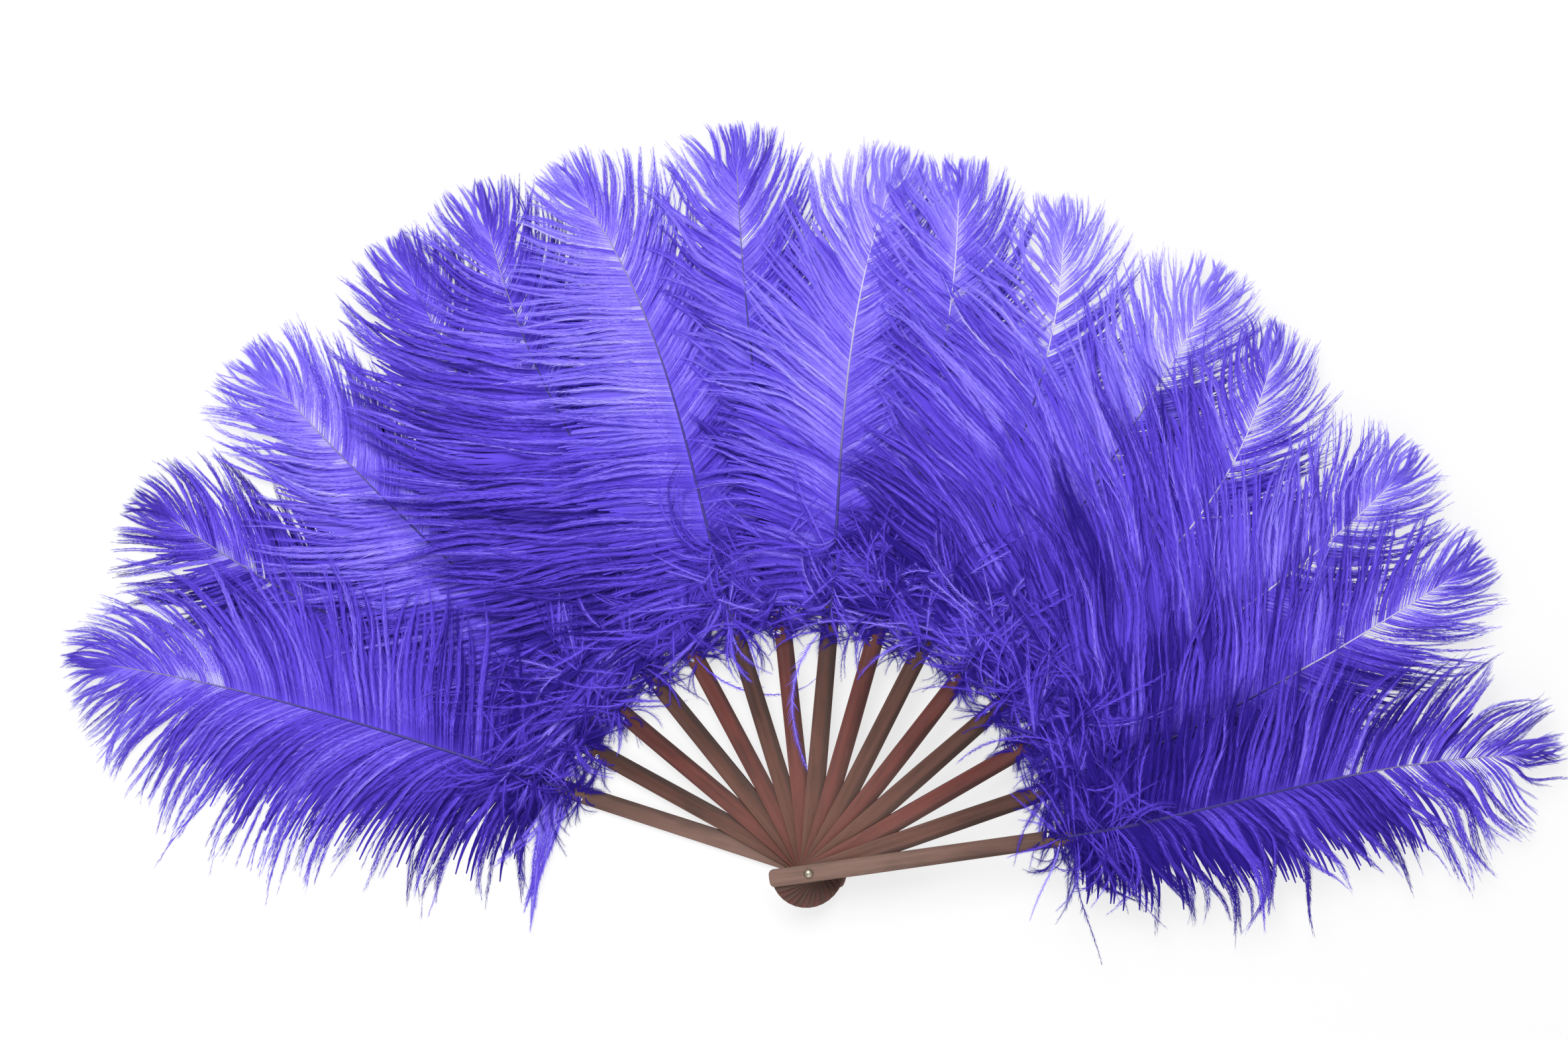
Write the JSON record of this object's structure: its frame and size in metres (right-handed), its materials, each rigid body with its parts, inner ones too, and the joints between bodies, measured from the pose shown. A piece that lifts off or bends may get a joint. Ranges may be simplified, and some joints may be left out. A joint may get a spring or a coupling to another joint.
{
  "type": "feather fan",
  "caption": "Large folding hand fan: wooden staves on one rivet, each carrying a curled ostrich plume, opening to a wide half disc and closing to one bundle.",
  "frame": {"origin": "on the rivet's axis, on the flat rear end of the rivet", "axes": "+Z along the rivet from the rear guard to the front guard, +Y through the middle of the open fan, +X to the front guard's side"},
  "size_m": [1.0488, 0.5754, 0.0463],
  "materials": {
    "guard_wood": "satin stained wood",
    "red_wood": "satin reddish stained wood",
    "dark_wood": "satin grey-brown stained wood",
    "plume": "dyed ostrich plume, soft and matt",
    "rivet_metal": "worn nickel"
  },
  "bodies": {
    "rear_guard_arm": {"rear_guard": "guard_wood", "plume_01": "plume", "rivet": "rivet_metal", "rear_washer": "rivet_metal", "front_washer": "rivet_metal"},
    "front_guard_arm": {"front_guard": "guard_wood", "plume_15": "plume"},
    "stave_14_arm": {"stave_14": "dark_wood", "plume_14": "plume"},
    "stave_13_arm": {"stave_13": "red_wood", "plume_13": "plume"},
    "stave_12_arm": {"stave_12": "dark_wood", "plume_12": "plume"},
    "stave_11_arm": {"stave_11": "red_wood", "plume_11": "plume"},
    "stave_10_arm": {"stave_10": "dark_wood", "plume_10": "plume"},
    "stave_09_arm": {"stave_09": "red_wood", "plume_09": "plume"},
    "stave_08_arm": {"stave_08": "dark_wood", "plume_08": "plume"},
    "stave_07_arm": {"stave_07": "red_wood", "plume_07": "plume"},
    "stave_06_arm": {"stave_06": "dark_wood", "plume_06": "plume"},
    "stave_05_arm": {"stave_05": "red_wood", "plume_05": "plume"},
    "stave_04_arm": {"stave_04": "dark_wood", "plume_04": "plume"},
    "stave_03_arm": {"stave_03": "red_wood", "plume_03": "plume"},
    "stave_02_arm": {"stave_02": "dark_wood", "plume_02": "plume"}
  },
  "joints": [
    {"name": "front_guard_pivot", "type": "hinge", "parent": "rear_guard_arm", "child": "front_guard_arm", "pos_m": [0, 0, 0], "axis": [0, 0, 1], "range_deg": [0, 154]},
    {"name": "stave_14_pivot", "type": "hinge", "parent": "rear_guard_arm", "child": "stave_14_arm", "pos_m": [0, 0, 0], "axis": [0, 0, 1], "range_deg": [0, 143]},
    {"name": "stave_13_pivot", "type": "hinge", "parent": "rear_guard_arm", "child": "stave_13_arm", "pos_m": [0, 0, 0], "axis": [0, 0, 1], "range_deg": [0, 132]},
    {"name": "stave_12_pivot", "type": "hinge", "parent": "rear_guard_arm", "child": "stave_12_arm", "pos_m": [0, 0, 0], "axis": [0, 0, 1], "range_deg": [0, 121]},
    {"name": "stave_11_pivot", "type": "hinge", "parent": "rear_guard_arm", "child": "stave_11_arm", "pos_m": [0, 0, 0], "axis": [0, 0, 1], "range_deg": [0, 110]},
    {"name": "stave_10_pivot", "type": "hinge", "parent": "rear_guard_arm", "child": "stave_10_arm", "pos_m": [0, 0, 0], "axis": [0, 0, 1], "range_deg": [0, 99]},
    {"name": "stave_09_pivot", "type": "hinge", "parent": "rear_guard_arm", "child": "stave_09_arm", "pos_m": [0, 0, 0], "axis": [0, 0, 1], "range_deg": [0, 88]},
    {"name": "stave_08_pivot", "type": "hinge", "parent": "rear_guard_arm", "child": "stave_08_arm", "pos_m": [0, 0, 0], "axis": [0, 0, 1], "range_deg": [0, 77]},
    {"name": "stave_07_pivot", "type": "hinge", "parent": "rear_guard_arm", "child": "stave_07_arm", "pos_m": [0, 0, 0], "axis": [0, 0, 1], "range_deg": [0, 66]},
    {"name": "stave_06_pivot", "type": "hinge", "parent": "rear_guard_arm", "child": "stave_06_arm", "pos_m": [0, 0, 0], "axis": [0, 0, 1], "range_deg": [0, 55]},
    {"name": "stave_05_pivot", "type": "hinge", "parent": "rear_guard_arm", "child": "stave_05_arm", "pos_m": [0, 0, 0], "axis": [0, 0, 1], "range_deg": [0, 44]},
    {"name": "stave_04_pivot", "type": "hinge", "parent": "rear_guard_arm", "child": "stave_04_arm", "pos_m": [0, 0, 0], "axis": [0, 0, 1], "range_deg": [0, 33]},
    {"name": "stave_03_pivot", "type": "hinge", "parent": "rear_guard_arm", "child": "stave_03_arm", "pos_m": [0, 0, 0], "axis": [0, 0, 1], "range_deg": [0, 22]},
    {"name": "stave_02_pivot", "type": "hinge", "parent": "rear_guard_arm", "child": "stave_02_arm", "pos_m": [0, 0, 0], "axis": [0, 0, 1], "range_deg": [0, 11]}
  ],
  "couplings": [
    {"joint": "stave_14_pivot", "follows": "front_guard_pivot", "ratio": 0.92857},
    {"joint": "stave_13_pivot", "follows": "front_guard_pivot", "ratio": 0.85714},
    {"joint": "stave_12_pivot", "follows": "front_guard_pivot", "ratio": 0.78571},
    {"joint": "stave_11_pivot", "follows": "front_guard_pivot", "ratio": 0.71429},
    {"joint": "stave_10_pivot", "follows": "front_guard_pivot", "ratio": 0.64286},
    {"joint": "stave_09_pivot", "follows": "front_guard_pivot", "ratio": 0.57143},
    {"joint": "stave_08_pivot", "follows": "front_guard_pivot", "ratio": 0.5},
    {"joint": "stave_07_pivot", "follows": "front_guard_pivot", "ratio": 0.42857},
    {"joint": "stave_06_pivot", "follows": "front_guard_pivot", "ratio": 0.35714},
    {"joint": "stave_05_pivot", "follows": "front_guard_pivot", "ratio": 0.28571},
    {"joint": "stave_04_pivot", "follows": "front_guard_pivot", "ratio": 0.21429},
    {"joint": "stave_03_pivot", "follows": "front_guard_pivot", "ratio": 0.14286},
    {"joint": "stave_02_pivot", "follows": "front_guard_pivot", "ratio": 0.071429}
  ]
}
